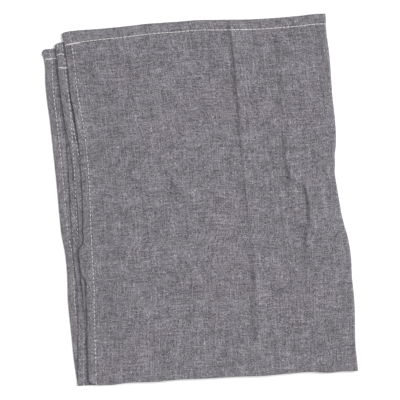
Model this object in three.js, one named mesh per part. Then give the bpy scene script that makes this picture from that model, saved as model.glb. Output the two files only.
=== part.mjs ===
// A hemmed dish towel folded in quarters, lying flat. Millimetres, +Z up.
//
// The towel is one rectangle of plain-woven cloth, about 540 x 690, with a narrow hem turned to its
// back on all four edges. It was folded in half across its length, and then in half across its width.
// So it lies in four layers: both folds are rounded, the second one wraps round the first, and the four
// hemmed corners come together at the upper left, a little fanned out.
//
// From the surface up the layers are called bottom, lower, upper and top. The first fold runs along the
// near end (-Y) and joins top to upper and lower to bottom. The second fold runs along the right side
// (+X): it joins upper to lower on the inside, and top to bottom on the outside.

import * as THREE from "three";

// The cloth and its hems
const CLOTH_THICK = 1.0;
const HEM_EXTRA = 0.7; // added on the back of the cloth by the turned hem
const SIDE_HEM = 9.5; // width of the hems along the two long edges
const END_HEM = 12.5; // width of the hems along the two short edges
const HEM_STEP = 1.6; // length over which a hem steps down to the single cloth
const LAYER_GAP = 0.5; // air between two layers that lie on each other

// Left edge of each layer: x of the edge at a few places down its length, from the end hem to the fold
const LEFT_EDGE = {
  top: [
    { y: 177.9, x: -125.7 },
    { y: 163, x: -123.8 },
    { y: 132, x: -122.5 },
    { y: 112, x: -121.5 },
    { y: 93, x: -119.3 },
    { y: 60, x: -117.4 },
    { y: 10, x: -117.6 },
    { y: -60, x: -120.8 },
    { y: -122, x: -123.0 },
    { y: -171, x: -125.4 },
  ],
  upper: [
    { y: 155.7, x: -132.3 },
    { y: 123, x: -132.2 },
    { y: 85, x: -129.3 },
    { y: 46, x: -125.2 },
    { y: 5, x: -123.8 },
    { y: -58, x: -125.7 },
    { y: -110, x: -124.6 },
    { y: -171, x: -125.4 },
  ],
  lower: [
    { y: 166.6, x: -134.3 },
    { y: 124, x: -131.4 },
    { y: 70, x: -129.8 },
    { y: -44, x: -131.3 },
    { y: -88, x: -130.4 },
    { y: -176, x: -136.3 },
  ],
  bottom: [
    { y: 162.6, x: -146.0 },
    { y: 154, x: -145.6 },
    { y: 128, x: -145.8 },
    { y: 108, x: -145.4 },
    { y: 60, x: -143.1 },
    { y: 30, x: -142.1 },
    { y: -2, x: -141.9 },
    { y: -24, x: -141.0 },
    { y: -42, x: -138.8 },
    { y: -62, x: -138.5 },
    { y: -90, x: -139.7 },
    { y: -122, x: -138.8 },
    { y: -151, x: -138.1 },
    { y: -176, x: -136.3 },
  ],
};

// End hem of each layer: y of its edge at a few places from the left edge to the second fold
const END_EDGE = {
  top: [
    { x: -125.7, y: 177.9 },
    { x: -110, y: 179.3 },
    { x: -68, y: 179.9 },
    { x: -38, y: 181.0 },
    { x: 8, y: 180.9 },
    { x: 28, y: 179.6 },
    { x: 60, y: 177.4 },
    { x: 90, y: 176.9 },
    { x: 112, y: 177.1 },
    { x: 138.8, y: 177.5 },
  ],
  upper: [
    { x: -132.3, y: 155.7 },
    { x: 0, y: 165.5 },
    { x: 138.8, y: 174.0 },
  ],
  lower: [
    { x: -134.3, y: 166.6 },
    { x: -126, y: 168.8 },
    { x: 0, y: 172.5 },
    { x: 138.8, y: 174.0 },
  ],
  bottom: [
    { x: -146.0, y: 162.6 },
    { x: -134, y: 163.4 },
    { x: 0, y: 171.5 },
    { x: 138.8, y: 177.5 },
  ],
};

// Second fold: x of its outermost line down the right side. It dips in once and bulges out once
const SECOND_FOLD = [
  { y: 177.5, x: 138.8 },
  { y: 158, x: 138.4 },
  { y: 140, x: 139.6 },
  { y: 97, x: 139.6 },
  { y: 74, x: 140.3 },
  { y: 58, x: 140.3 },
  { y: 45, x: 139.3 },
  { y: 36, x: 137.5 },
  { y: 19, x: 136.1 },
  { y: 8, x: 136.9 },
  { y: -10, x: 138.6 },
  { y: -28, x: 140.5 },
  { y: -47, x: 144.2 },
  { y: -66, x: 146.0 },
  { y: -86, x: 145.5 },
  { y: -125, x: 145.8 },
  { y: -155, x: 144.0 },
  { y: -181.0, x: 144.6 },
];

// First fold: y of its outermost line, for the pair of layers on top and the pair below
const FIRST_FOLD = {
  topPair: [
    { x: -125.4, y: -169.8 },
    { x: -118, y: -172.6 },
    { x: -108, y: -174.4 },
    { x: -86, y: -175.4 },
    { x: -57, y: -176.9 },
    { x: -33, y: -176.4 },
    { x: -9, y: -177.4 },
    { x: 26, y: -178.1 },
    { x: 50, y: -179.1 },
    { x: 99, y: -178.6 },
    { x: 116, y: -181.3 },
    { x: 129, y: -180.5 },
    { x: 144.6, y: -181.0 },
  ],
  bottomPair: [
    { x: -136.3, y: -175.3 },
    { x: -100, y: -176.7 },
    { x: -86, y: -175.7 },
    { x: -57, y: -177.0 },
    { x: -33, y: -176.4 },
    { x: -9, y: -177.4 },
    { x: 26, y: -178.1 },
    { x: 50, y: -179.1 },
    { x: 99, y: -178.6 },
    { x: 116, y: -181.3 },
    { x: 129, y: -180.5 },
    { x: 144.6, y: -181.0 },
  ],
};

// Soft humps of the cloth: centre, half lengths across and along, turn in degrees, and height.
// Air under the stack is felt less and less in the lower layers, a lift in the top layer alone
const AIR_HUMPS = [
  { x: 44, y: 160, across: 30, along: 40, turn: 0, height: 0.8 },
  { x: -40, y: 72, across: 34, along: 48, turn: -20, height: 1.5 },
  { x: -12, y: -20, across: 46, along: 40, turn: 25, height: 1.3 },
  { x: 10, y: -108, across: 60, along: 44, turn: 0, height: 1.1 },
  { x: 96, y: 112, across: 36, along: 40, turn: 10, height: 0.9 },
  { x: 128, y: -72, across: 26, along: 54, turn: 0, height: 1.7 },
  { x: 122, y: 46, across: 16, along: 44, turn: 0, height: 1.1 },
  { x: -92, y: -84, across: 34, along: 56, turn: 10, height: 0.9 },
];
const TOP_LIFTS = [
  { x: -122, y: 98, across: 15, along: 40, turn: 0, height: 1.6 },
  { x: -122, y: -34, across: 12, along: 22, turn: 0, height: 1.0 },
  { x: -122, y: -146, across: 15, along: 38, turn: 0, height: 1.2 },
  { x: -101, y: -14, across: 12, along: 18, turn: 0, height: 1.2 },
];
const AIR_ALL_OVER = 0.9; // how much the air holds up the middle of the stack
const AIR_MARGIN = 46; // from the outline in, where that air builds up
const AIR_SHARE = { upper: 0.4, lower: 0.15 };
const HOLLOW_SLACK = 0.1; // how far a hollow may sink below the air under it

// Creases left by an older fold. The cloth rises softly to a crest over the width on its right side and
// drops from it over the width on its left. A path's places have the share of the height there as well,
// and one that crosses a hem starts past the edge of the cloth. A height below 0 makes a trough
const CREASES = [
  {
    name: "long crease from the end hem",
    height: 1.5,
    left: 9,
    right: 30,
    path: [
      [42, 205, 0.8], [44.3, 141, 0.8], [44.8, 122, 1], [45.1, 99, 0.9], [45.7, 67, 0.55], [45.4, 16, 0.4],
      [46.9, -10, 0.45], [48.9, -50, 0.3], [48.2, -73, 0.75], [48.8, -92, 0.65], [47.4, -110, 0.35],
      [44.6, -147, 0],
    ],
  },
  {
    name: "trough across its lower end",
    height: -0.7,
    left: 10,
    right: 10,
    path: [[-14, -147, 0], [3, -150.5, 0.7], [19.5, -152.5, 1], [43, -151, 1], [52, -137, 0]],
  },
  {
    name: "crease left of the bulge",
    height: 1.3,
    left: 11,
    right: 34,
    path: [[98.3, 99, 0], [93.5, 72, 0.35], [89, 50, 0.9], [89.5, 30, 0.9], [91.5, 16.6, 1], [86.5, 0, 0]],
  },
  {
    name: "crease into the bulge",
    height: 1.5,
    left: 7,
    right: 34,
    path: [
      [86, 19, 0], [99.5, 10.5, 0.5], [106, 8, 0.6], [108.5, -11.8, 1], [107.5, -31.8, 1],
      [103.8, -46.5, 0.5], [95, -68, 0],
    ],
  },
  {
    name: "hollow below the left corner",
    height: -0.7,
    left: 16,
    right: 16,
    path: [[-107, 111, 0.5], [-79, 100, 1], [-29, 82, 0]],
  },
  {
    name: "crumple beside the left hem",
    height: 0.6,
    left: 14,
    right: 16,
    path: [[-76, 70, 0], [-69, 55, 0.8], [-80, 42, 1], [-96, 26, 0.8], [-82, 16, 0.3]],
  },
  {
    name: "curve in the middle",
    height: 0.6,
    left: 14,
    right: 18,
    path: [[-30, 42, 0], [-25, 17, 1], [-18, 6, 0.8], [-29, -9, 0.6], [-33, -28, 0.8], [-42, -37, 0]],
  },
  {
    name: "dent near the first fold",
    height: -0.5,
    left: 16,
    right: 16,
    path: [[78, -104, 0], [98, -106, 1], [122, -110, 0]],
  },
  {
    name: "band under the end hem",
    height: -0.5,
    left: 16,
    right: 16,
    path: [[48, 150, 0], [86, 141, 1], [130, 138, 0.4]],
  },
];

// Grid: lengths of its cells, finer in a band inside the hems, and the distances from the left edge and
// from the end hem where creases run straight enough for the grid to follow them
const SHOWN_CELL = { across: 13, along: 14 };
const HIDDEN_CELL = { across: 29, along: 17 };
const HEM_BAND = 30;
const BAND_CELL = 11;
const CREASES_DOWN = [169, 215, 231];
const CREASES_ACROSS = [324];
const CREASE_CELL = 6;
const FIRST_FOLD_CELLS = 4;
const SECOND_FOLD_CELLS = 5;

// Colour of the cloth: charcoal and off-white threads, seen together
const CLOTH_COLOUR = "#807d83";
const CLOTH_ROUGHNESS = 0.95;

const LAYER_OVERHANG = 30; // how far past a lower layer's end the upper ones have sunk down fully
const RIDGE_SOFTNESS = 14; // length over which a layer climbs onto a hem below it
const PROBE = 1e-3; // step for slopes, in the sheet's own measure

const smooth = (low, high, value) => THREE.MathUtils.smoothstep(value, low, high);
const mix = THREE.MathUtils.lerp;

// A smooth line through the rows of a table, read as value against key
function lineThrough(rows, key, value) {
  const sorted = [...rows].sort((one, other) => one[key] - other[key]);
  const steps = sorted.slice(1).map((row, i) => {
    const before = sorted[i];
    return (row[value] - before[value]) / (row[key] - before[key]);
  });
  const slopes = sorted.map((row, i) => {
    const before = steps[Math.max(i - 1, 0)];
    const after = steps[Math.min(i, steps.length - 1)];
    return (before + after) / 2;
  });
  return (at) => {
    const inside = THREE.MathUtils.clamp(at, sorted[0][key], sorted.at(-1)[key]);
    const found = sorted.findIndex((row) => row[key] >= inside);
    const i = Math.max(found, 1) - 1;
    const span = sorted[i + 1][key] - sorted[i][key];
    const u = (inside - sorted[i][key]) / span;
    const rise = sorted[i + 1][value] - sorted[i][value];
    const bend = slopes[i] * span * u * (1 - u) ** 2 - slopes[i + 1] * span * u ** 2 * (1 - u);
    return sorted[i][value] + rise * u * u * (3 - 2 * u) + bend;
  };
}

const tableLines = (tables, key, value) =>
  Object.fromEntries(Object.entries(tables).map(([name, rows]) => [name, lineThrough(rows, key, value)]));

const leftEdgeX = tableLines(LEFT_EDGE, "y", "x");
const endEdgeY = tableLines(END_EDGE, "x", "y");
const firstFoldOuterY = tableLines(FIRST_FOLD, "x", "y");
const secondFoldOuterX = lineThrough(SECOND_FOLD, "y", "x");
const PAIR = { top: "topPair", upper: "topPair", lower: "bottomPair", bottom: "bottomPair" };

// How far the hems of a layer raise what lies on them, at a place seen from above
function hemRise(layer, x, y) {
  const fromSide = x - leftEdgeX[layer](y);
  const fromEnd = endEdgeY[layer](x) - y;
  const covered = smooth(-RIDGE_SOFTNESS, 0, Math.min(fromSide, fromEnd));
  const side = 1 - smooth(SIDE_HEM, SIDE_HEM + RIDGE_SOFTNESS, fromSide);
  const end = 1 - smooth(END_HEM, END_HEM + RIDGE_SOFTNESS, fromEnd);
  return HEM_EXTRA * covered * Math.max(side, end);
}

// How much of a layer still carries those above: 1 on it, falling to 0 past its end
function carries(layer, x, y) {
  return smooth(-LAYER_OVERHANG, 0, endEdgeY[layer](x) - y);
}

function humpAt(hump, x, y) {
  const turn = THREE.MathUtils.degToRad(hump.turn);
  const across = ((x - hump.x) * Math.cos(turn) + (y - hump.y) * Math.sin(turn)) / hump.across;
  const along = ((y - hump.y) * Math.cos(turn) - (x - hump.x) * Math.sin(turn)) / hump.along;
  return hump.height * Math.exp(-2 * (across ** 2 + along ** 2));
}

// How far a place is from a path and on which side of it, and the path's share at the nearest place
function alongPath(path, x, y) {
  let nearest = { gap: Infinity, left: false, share: 0 };
  for (const [i, [endX, endY, endShare]] of path.slice(1).entries()) {
    const [startX, startY, startShare] = path[i];
    const [runX, runY] = [endX - startX, endY - startY];
    const part = ((x - startX) * runX + (y - startY) * runY) / (runX ** 2 + runY ** 2);
    const at = THREE.MathUtils.clamp(part, 0, 1);
    const [offX, offY] = [x - startX - at * runX, y - startY - at * runY];
    const gap = Math.hypot(offX, offY);
    if (gap < nearest.gap) {
      nearest = { gap, left: runY * offX - runX * offY > 0, share: mix(startShare, endShare, at) };
    }
  }
  return nearest;
}

function creaseAt(crease, x, y) {
  const { gap, left, share } = alongPath(crease.path, x, y);
  const flank = left ? crease.left : crease.right;
  return crease.height * share * Math.max(1 - gap / flank, 0) ** 3;
}

// How far the air between the layers lifts the top one
function airUnder(x, y) {
  const inward = Math.min(x - leftEdgeX.top(y), endEdgeY.top(x) - y);
  const fromFolds = Math.min(secondFoldOuterX(y) - x, y - firstFoldOuterY.topPair(x));
  const allOver = AIR_ALL_OVER * smooth(0, AIR_MARGIN, Math.min(inward, fromFolds));
  return AIR_HUMPS.reduce((sum, hump) => sum + humpAt(hump, x, y), allOver);
}

// Height of the middle of each layer's cloth over the surface
function layerHeights(x, y) {
  const step = CLOTH_THICK + LAYER_GAP;
  const rise = Object.fromEntries(Object.keys(PAIR).map((layer) => [layer, hemRise(layer, x, y)]));
  const bottom = CLOTH_THICK / 2;
  const lower = bottom + rise.lower + carries("bottom", x, y) * (step + rise.bottom);
  const upper = lower + carries("lower", x, y) * step;
  const top = upper + carries("upper", x, y) * step + rise.upper + rise.top;
  const air = airUnder(x, y);
  const lift = TOP_LIFTS.reduce((sum, hump) => sum + humpAt(hump, x, y), 0);
  const crease = CREASES.reduce((sum, row) => sum + creaseAt(row, x, y), 0);
  return {
    bottom,
    lower: lower + AIR_SHARE.lower * air,
    upper: upper + AIR_SHARE.upper * air,
    top: top + Math.max(air + lift + crease, AIR_SHARE.upper * air - HOLLOW_SLACK),
  };
}

// The middle lines of the rounded folds lie inside their outermost lines
function secondFoldX(y) {
  const outer = secondFoldOuterX(y);
  const heights = layerHeights(outer, y);
  return outer - (heights.top - heights.bottom) / 2 - CLOTH_THICK / 2;
}

function firstFoldY(pair, x) {
  const outer = firstFoldOuterY[pair](x);
  const heights = layerHeights(x, outer);
  const [over, under] = pair === "topPair" ? ["top", "upper"] : ["lower", "bottom"];
  return outer + (heights[over] - heights[under]) / 2 + CLOTH_THICK / 2;
}

const foldCorner = {
  x: secondFoldX(SECOND_FOLD.at(-1).y),
  y: firstFoldY("bottomPair", SECOND_FOLD.at(-1).x),
};

// The corners of a layer, where its two edges and its two folds meet
function layerCorners(layer) {
  const left = LEFT_EDGE[layer];
  const footX = left.at(-1).x;
  const endY = END_EDGE[layer].at(-1).y;
  return {
    endLeft: { x: left[0].x, y: left[0].y },
    endRight: { x: secondFoldX(endY), y: endY },
    foldLeft: { x: footX, y: firstFoldY(PAIR[layer], footX) },
    foldRight: foldCorner,
  };
}

const CORNERS = Object.fromEntries(Object.keys(PAIR).map((layer) => [layer, layerCorners(layer)]));

// A place in a layer seen from above: across runs from its left edge (0) to the second fold (1), and
// along from its end hem (0) to the first fold (1). The four border lines are blended over the layer
function placeInLayer(layer, across, along) {
  const { endLeft, endRight, foldLeft, foldRight } = CORNERS[layer];
  const leftY = mix(endLeft.y, foldLeft.y, along);
  const rightY = mix(endRight.y, foldRight.y, along);
  const endX = mix(endLeft.x, endRight.x, across);
  const foldX = mix(foldLeft.x, foldRight.x, across);
  const betweenSides = mix(leftEdgeX[layer](leftY), secondFoldX(rightY), across);
  const betweenEnds = mix(endEdgeY[layer](endX), firstFoldY(PAIR[layer], foldX), along);
  const betweenCornersX = mix(endX, foldX, along);
  const betweenCornersY = mix(leftY, rightY, across);
  const cornersX = mix(mix(endLeft.x, endRight.x, across), mix(foldLeft.x, foldRight.x, across), along);
  const cornersY = mix(mix(endLeft.y, endRight.y, across), mix(foldLeft.y, foldRight.y, across), along);
  return {
    x: betweenSides + betweenCornersX - cornersX,
    y: betweenEnds + betweenCornersY - cornersY,
  };
}

// Each way over the sheet has three stretches of length 1: a half, the round of a fold, the other half
function stretch(at) {
  const turn = THREE.MathUtils.clamp(at - 1, 0, 1) * Math.PI;
  return { part: Math.min(at, 3 - at, 1), sideways: Math.sin(turn), facing: (1 + Math.cos(turn)) / 2 };
}

// The middle of the cloth at a place on the sheet
function sheetPoint(s, t) {
  const across = stretch(s);
  const along = stretch(t);
  const weights = {
    top: across.facing * along.facing,
    bottom: (1 - across.facing) * along.facing,
    upper: across.facing * (1 - along.facing),
    lower: (1 - across.facing) * (1 - along.facing),
  };
  const point = new THREE.Vector3();
  const reach = { second: 0, first: 0 };
  for (const [layer, weight] of Object.entries(weights)) {
    if (weight === 0) continue;
    const { x, y } = placeInLayer(layer, across.part, along.part);
    const heights = layerHeights(x, y);
    const halfStack = layer === "top" || layer === "bottom"
      ? (heights.top - heights.bottom) / 2
      : (heights.upper - heights.lower) / 2;
    const halfPair = PAIR[layer] === "topPair"
      ? (heights.top - heights.upper) / 2
      : (heights.lower - heights.bottom) / 2;
    point.add(new THREE.Vector3(x, y, heights[layer]).multiplyScalar(weight));
    reach.second += weight * halfStack;
    reach.first += weight * halfPair;
  }
  point.x += reach.second * across.sideways;
  point.y -= reach.first * along.sideways;
  return point;
}

// The direction that the front of the cloth faces: up in the top layer
function frontNormal(s, t) {
  const alongS = sheetPoint(Math.min(s + PROBE, 3), t).sub(sheetPoint(Math.max(s - PROBE, 0), t));
  const alongT = sheetPoint(s, Math.min(t + PROBE, 3)).sub(sheetPoint(s, Math.max(t - PROBE, 0)));
  return alongT.cross(alongS).normalize();
}

// What the hem adds on the back, at distances from the side edge and the end edge
function hemThickness(fromSide, fromEnd) {
  const side = 1 - smooth(SIDE_HEM - HEM_STEP / 2, SIDE_HEM + HEM_STEP / 2, fromSide);
  const end = 1 - smooth(END_HEM - HEM_STEP / 2, END_HEM + HEM_STEP / 2, fromEnd);
  return HEM_EXTRA * Math.max(side, end);
}

// The grid's stations over one half, in parts of its length. Those at the hem and at creases are fixed,
// and the lengths between them are cut into even cells
function halfStations(length, hem, creases, cell) {
  const fixed = [
    hem - HEM_STEP / 2,
    hem + HEM_STEP / 2,
    hem + HEM_BAND,
    ...creases.flatMap((crease) => [crease - CREASE_CELL, crease, crease + CREASE_CELL]),
    length,
  ];
  const stations = [0];
  for (const end of fixed) {
    const start = stations.at(-1);
    const cells = Math.ceil((end - start) / (end > hem + HEM_BAND ? cell : BAND_CELL));
    for (let step = 1; step <= cells; step += 1) {
      stations.push(mix(start, end, step / cells));
    }
  }
  return stations.map((station) => station / length);
}

function sheetStations(shown, foldCells, hidden) {
  const round = Array.from({ length: foldCells - 1 }, (_, i) => 1 + (i + 1) / foldCells);
  return [...shown, ...round, ...hidden.map((part) => 3 - part).reverse()];
}

const HALF_WIDTH = CORNERS.top.endRight.x - CORNERS.top.endLeft.x;
const HALF_LENGTH = CORNERS.top.endLeft.y - CORNERS.top.foldLeft.y;

// The closed body: a grid on the front, one on the back, and a strip round the edges of the cloth
function towelGeometry() {
  const stationsS = sheetStations(
    halfStations(HALF_WIDTH, SIDE_HEM, CREASES_DOWN, SHOWN_CELL.across),
    SECOND_FOLD_CELLS,
    halfStations(HALF_WIDTH, SIDE_HEM, [], HIDDEN_CELL.across),
  );
  const stationsT = sheetStations(
    halfStations(HALF_LENGTH, END_HEM, CREASES_ACROSS, SHOWN_CELL.along),
    FIRST_FOLD_CELLS,
    halfStations(HALF_LENGTH, END_HEM, [], HIDDEN_CELL.along),
  );
  const front = [];
  const back = [];
  for (const t of stationsT) {
    for (const s of stationsS) {
      const middle = sheetPoint(s, t);
      const normal = frontNormal(s, t);
      const extra = hemThickness(stretch(s).part * HALF_WIDTH, stretch(t).part * HALF_LENGTH);
      front.push(middle.clone().addScaledVector(normal, CLOTH_THICK / 2));
      back.push(middle.clone().addScaledVector(normal, -CLOTH_THICK / 2 - extra));
    }
  }

  const columns = stationsS.length;
  const rows = stationsT.length;
  const onFront = (column, row) => row * columns + column;
  const onBack = (column, row) => front.length + onFront(column, row);
  const triangles = [];
  const addQuad = (a, b, c, d) => triangles.push(a, b, c, a, c, d);
  for (let row = 0; row < rows - 1; row += 1) {
    for (let column = 0; column < columns - 1; column += 1) {
      addQuad(onFront(column, row), onFront(column, row + 1),
        onFront(column + 1, row + 1), onFront(column + 1, row));
      addQuad(onBack(column, row), onBack(column + 1, row),
        onBack(column + 1, row + 1), onBack(column, row + 1));
    }
  }
  for (let column = 0; column < columns - 1; column += 1) {
    addQuad(onFront(column + 1, 0), onBack(column + 1, 0), onBack(column, 0), onFront(column, 0));
    addQuad(onFront(column, rows - 1), onBack(column, rows - 1),
      onBack(column + 1, rows - 1), onFront(column + 1, rows - 1));
  }
  for (let row = 0; row < rows - 1; row += 1) {
    addQuad(onFront(0, row), onBack(0, row), onBack(0, row + 1), onFront(0, row + 1));
    addQuad(onFront(columns - 1, row + 1), onBack(columns - 1, row + 1),
      onBack(columns - 1, row), onFront(columns - 1, row));
  }

  const geometry = new THREE.BufferGeometry();
  geometry.setFromPoints([...front, ...back]);
  geometry.setIndex(triangles);
  geometry.computeVertexNormals();
  return geometry;
}

const towel = new THREE.Mesh(
  towelGeometry(),
  new THREE.MeshStandardMaterial({
    color: CLOTH_COLOUR,
    roughness: CLOTH_ROUGHNESS,
    metalness: 0,
    flatShading: true,
  }),
);
towel.name = "towel";

// The origin is under the middle of the folded towel, on the surface that it lies on
const footprint = new THREE.Box3().setFromObject(towel);
towel.position.x = -(footprint.min.x + footprint.max.x) / 2;
towel.position.y = -(footprint.min.y + footprint.max.y) / 2;

const part = new THREE.Group();
part.add(towel);

export default part;
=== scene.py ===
# %% [markdown]
# # A folded dish towel
#
# The real object is one rectangle of chambray, a plain weave of charcoal and off-white threads, with a
# narrow hem turned to its back on all four edges and off-white topstitching. It is folded in half across
# its length and then across its width, so it lies in four layers with its hemmed corners a little fanned.
#
# The looks are built in small steps. First comes the frame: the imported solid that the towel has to
# follow. Then the cloth is made as a mesh of its own on the solid's folds, the stitches are laid on it,
# both get their materials, and the light, the floor and the camera finish the picture.

# %% The frame
import math

import bpy
import numpy as np
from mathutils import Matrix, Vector


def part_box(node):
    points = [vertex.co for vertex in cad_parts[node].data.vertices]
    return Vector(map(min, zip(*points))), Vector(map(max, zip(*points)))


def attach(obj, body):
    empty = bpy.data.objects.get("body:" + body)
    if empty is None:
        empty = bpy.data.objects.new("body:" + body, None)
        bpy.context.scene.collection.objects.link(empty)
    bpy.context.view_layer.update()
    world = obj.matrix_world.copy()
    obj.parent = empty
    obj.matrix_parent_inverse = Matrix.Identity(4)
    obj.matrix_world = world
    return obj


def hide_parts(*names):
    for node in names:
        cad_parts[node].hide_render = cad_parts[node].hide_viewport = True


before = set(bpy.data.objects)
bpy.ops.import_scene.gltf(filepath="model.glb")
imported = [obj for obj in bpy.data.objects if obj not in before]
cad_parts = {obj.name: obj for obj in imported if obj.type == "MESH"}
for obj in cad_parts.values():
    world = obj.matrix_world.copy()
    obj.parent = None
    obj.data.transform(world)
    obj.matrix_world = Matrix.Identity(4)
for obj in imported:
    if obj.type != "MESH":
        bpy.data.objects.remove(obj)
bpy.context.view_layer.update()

MM = 0.001  # the cloth is worked out in millimetres, and Blender's unit here is the metre
towel_low, towel_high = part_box("towel")
print("solid", [round((high - low) / MM, 1) for low, high in zip(towel_low, towel_high)], "mm")

# %% [markdown]
# ## Camera
#
# The towel is photographed from straight above, lying a little turned. A long lens keeps the view nearly
# parallel, so the high parts of the cloth don't spread outwards. The camera is turned instead of the
# towel, because the towel stays square to the frame's axes.

# %% The camera
SENSOR = 36  # millimetres, the usual full frame
LENS = 135
SEEN_WIDTH = 400 * MM  # what the picture shows, side to side, at the towel
TOWEL_TURN = math.radians(4.3)  # how far the towel is turned, seen from above, clockwise
VIEW_MIDDLE = Vector((0.17, 1.26, 5)) * MM  # what the middle of the picture shows


def add_object(name, data):
    made = bpy.data.objects.new(name, data)
    bpy.context.scene.collection.objects.link(made)
    return made


camera = add_object("camera", bpy.data.cameras.new("camera"))
camera.data.sensor_width = SENSOR
camera.data.lens = LENS
camera.location = VIEW_MIDDLE + Vector((0, 0, SEEN_WIDTH * LENS / SENSOR))
camera.rotation_euler = (0, 0, -TOWEL_TURN)
bpy.context.scene.camera = camera
print("camera height", round(camera.location.z, 2), "m")

# %% [markdown]
# ## Smooth lines through a few places
#
# Edges and folds of real cloth are never quite straight. Each one here is a short table of places that
# it runs through, and a smooth line joins them. A Blender curve could do that too, but the sheet is worked
# out for tens of thousands of places at once, and numpy does that in one go.

# %% A smooth line through a table
def smooth(low, high, value):
    """0 below low, 1 above high, and a soft S between them."""
    part = np.clip((value - low) / (high - low), 0, 1)
    return part * part * (3 - 2 * part)


def mix(one, other, part):
    return one + (other - one) * part


def line_through(rows):
    """A smooth line through rows of (place, value), as a function of the place."""
    place, value = np.array(sorted(rows), float).T
    steps = np.diff(value) / np.diff(place)
    slopes = (np.append(steps[:1], steps) + np.append(steps, steps[-1:])) / 2

    def line(at):
        inside = np.clip(at, place[0], place[-1])
        i = np.clip(np.searchsorted(place, inside) - 1, 0, len(place) - 2)
        span = place[i + 1] - place[i]
        u = (inside - place[i]) / span
        rise = value[i + 1] - value[i]
        bend = slopes[i] * span * u * (1 - u) ** 2 - slopes[i + 1] * span * u**2 * (1 - u)
        return value[i] + rise * u * u * (3 - 2 * u) + bend

    return line


print("halfway", float(line_through([(0, 0), (10, 2)])(5)))

# %% [markdown]
# ## The towel's outlines
#
# From the surface up the layers are called bottom, lower, upper and top. The first fold lies along the
# near end and joins top to upper and lower to bottom. The second fold lies along the right side: it joins
# upper to lower on the inside and top to bottom on the outside. These are the outlines that the solid
# has too, in millimetres, with a few more places on each. Below the middle of its left edge the top
# layer's hem is crumpled outwards a little, and that small hook is only made here.

# %% Edges and folds
# Left edge of each layer: (y up the towel, x of the edge)
LEFT_EDGE = {
    "top": [(177.9, -126.3), (173.5, -125.8), (170.5, -124.9), (163, -124.0), (150, -123.1), (132, -122.5),
            (112, -121.5), (93, -119.3), (60, -117.4), (10, -117.9), (-20, -119.4), (-33, -120.3),
            (-40, -125.0), (-53, -125.2), (-64, -124.6), (-70.5, -121.0), (-84, -121.4), (-122, -123.0),
            (-171, -125.4)],
    "upper": [(155.7, -132.3), (144, -132.8), (123, -132.2), (85, -129.3), (46, -125.2), (5, -123.8),
              (-58, -125.7), (-110, -124.6), (-171, -125.4)],
    "lower": [(166.6, -134.3), (160, -133.8), (124, -131.4), (70, -129.8), (-44, -131.3), (-88, -130.4),
              (-176, -136.7)],
    "bottom": [(162.6, -146.4), (159.4, -147.6), (154.2, -146.4), (147, -145.6), (128, -146.4),
               (108, -145.8), (96, -144.9), (60, -143.6), (30, -142.7), (-2, -142.2), (-24, -141.5),
               (-42, -139.4), (-62, -138.9), (-90, -140.1), (-122, -139.3), (-151, -138.5), (-176, -136.7)],
}
# End hem of each layer: (x across the towel, y of the edge)
END_EDGE = {
    "top": [(-126.3, 177.6), (-124.1, 178.6), (-110, 179.7), (-94, 179.6), (-68, 179.9), (-38, 181.0),
            (-6, 180.7), (8, 180.9), (28, 179.6), (60, 177.4), (90, 176.9), (112, 177.1), (129, 177.8),
            (138.8, 177.5)],
    "upper": [(-132.3, 155.7), (-124, 155.2), (-108, 156.2), (0, 165.5), (138.8, 174.0)],
    "lower": [(-134.3, 166.6), (-132, 168.0), (-126, 168.8), (0, 172.5), (138.8, 174.0)],
    "bottom": [(-146.4, 162.6), (-143.9, 163.2), (-134, 163.4), (0, 171.5), (138.8, 177.5)],
}
# Second fold: (y, x of its outermost line)
SECOND_FOLD = [(177.5, 138.8), (158, 138.4), (140, 139.6), (110, 139.7), (97, 139.6), (74, 140.3),
               (58, 140.3), (45, 139.3), (36, 137.5), (27, 137.2), (19, 136.1), (8, 136.9), (-10, 138.6),
               (-28, 140.5), (-47, 144.2), (-66, 146.0), (-86, 145.5), (-106, 146.1), (-125, 145.8),
               (-143, 144.6), (-155, 144.0), (-170, 144.4), (-182.0, 144.6)]
# First fold: (x, y of its outermost line), for the pair of layers on top and the pair below
BOTH_PAIRS = [(-33, -176.9), (-9, -177.8), (26, -178.4), (50, -179.5), (75, -179.1), (99, -179.1),
              (116, -181.3), (129, -180.9), (144.6, -182.0)]
FIRST_FOLD = {
    "top pair": [(-125.4, -170.2), (-123, -173.8), (-118, -176.2), (-110, -176.9), (-100, -177.2),
                 (-86, -176.3), (-70, -176.8), (-57, -177.4), *BOTH_PAIRS],
    "bottom pair": [(-136.7, -175.9), (-124, -176.2), (-112, -176.7), (-100, -177.2), (-86, -176.3),
                    (-70, -176.9), (-57, -177.5), *BOTH_PAIRS],
}
PAIR = {"top": "top pair", "upper": "top pair", "lower": "bottom pair", "bottom": "bottom pair"}

left_edge_x = {layer: line_through(rows) for layer, rows in LEFT_EDGE.items()}
end_edge_y = {layer: line_through(rows) for layer, rows in END_EDGE.items()}
first_fold_outer_y = {pair: line_through(rows) for pair, rows in FIRST_FOLD.items()}
second_fold_outer_x = line_through(SECOND_FOLD)
print("outer fold at half height", round(float(second_fold_outer_x(0)), 1), "mm right of the middle")

# %% [markdown]
# ## The cloth's thickness and its hems
#
# Chambray for towels is about half a millimetre thick with its nap. A hem that is turned twice has three
# plies. They could be folded one by one, but pressed together they only show as a ridge on the back of
# the cloth, so a ridge is what is made. Where a layer lies on a hem, it climbs onto that ridge softly.
# The hems lie close on each other, and further in there is more air between the layers.

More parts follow.
